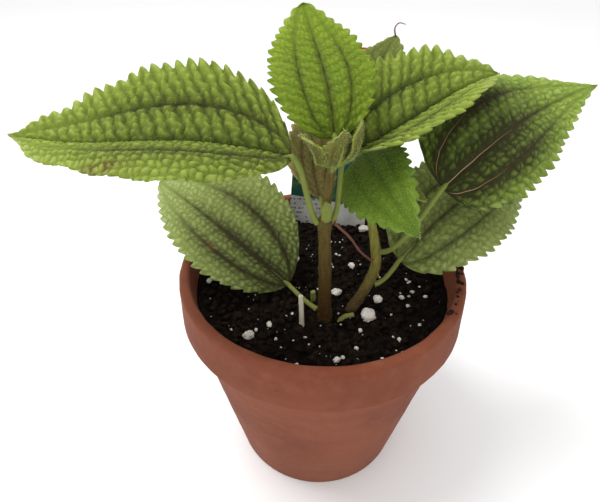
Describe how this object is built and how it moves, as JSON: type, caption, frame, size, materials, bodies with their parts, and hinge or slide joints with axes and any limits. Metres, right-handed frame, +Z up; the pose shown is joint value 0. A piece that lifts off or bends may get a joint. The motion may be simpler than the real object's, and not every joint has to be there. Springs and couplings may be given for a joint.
{
  "type": "potted plant",
  "caption": "Small houseplant with quilted, toothed oval leaves on short stems, growing in soil in a tapered clay pot with a rim band, with a blank plant label.",
  "frame": {"origin": "on the pot's axis at its underside, which is also the middle of the whole object's footprint", "axes": "+Z up along the pot's axis; +X to the right of the plant as seen from its front, along its widest spread of leaves; the front faces -Y"},
  "size_m": [0.1835, 0.1072, 0.1788],
  "materials": {
    "terracotta": "matte",
    "soil": "matte",
    "label_plastic": "satin",
    "stem_bark": "matte",
    "leaf_stalk": "matte",
    "leaf_green": "matte",
    "young_leaf": "matte",
    "dry_stalk": "matte",
    "stick_wood": "matte",
    "perlite": "matte"
  },
  "bodies": {
    "root": {"pot": "terracotta", "soil": "soil", "plant_label": "label_plastic", "stem_left": "stem_bark", "stem_right": "stem_bark", "runner_shoot": "leaf_stalk", "cut_stub": "leaf_stalk", "node_bud": "leaf_stalk", "dry_stalk": "dry_stalk", "pale_stick": "stick_wood", "leaf_left_large": "leaf_green", "leaf_right_upper": "leaf_green", "leaf_right_large": "leaf_green", "leaf_right_lower": "leaf_green", "leaf_left_lower": "leaf_green", "leaf_back_small": "leaf_green", "leaf_back_shoot": "leaf_green", "leaf_centre_upright": "young_leaf", "leaf_front_drooping": "young_leaf", "crown_leaf_right": "young_leaf", "crown_leaf_front": "young_leaf", "crown_leaf_left": "young_leaf", "tip_leaf_back": "young_leaf", "tip_leaf_front": "young_leaf", "perlite_01": "perlite", "perlite_02": "perlite", "perlite_03": "perlite", "perlite_04": "perlite", "perlite_05": "perlite", "perlite_06": "perlite", "perlite_07": "perlite", "perlite_08": "perlite", "perlite_09": "perlite", "perlite_10": "perlite", "perlite_11": "perlite", "perlite_12": "perlite"}
  },
  "joints": []
}
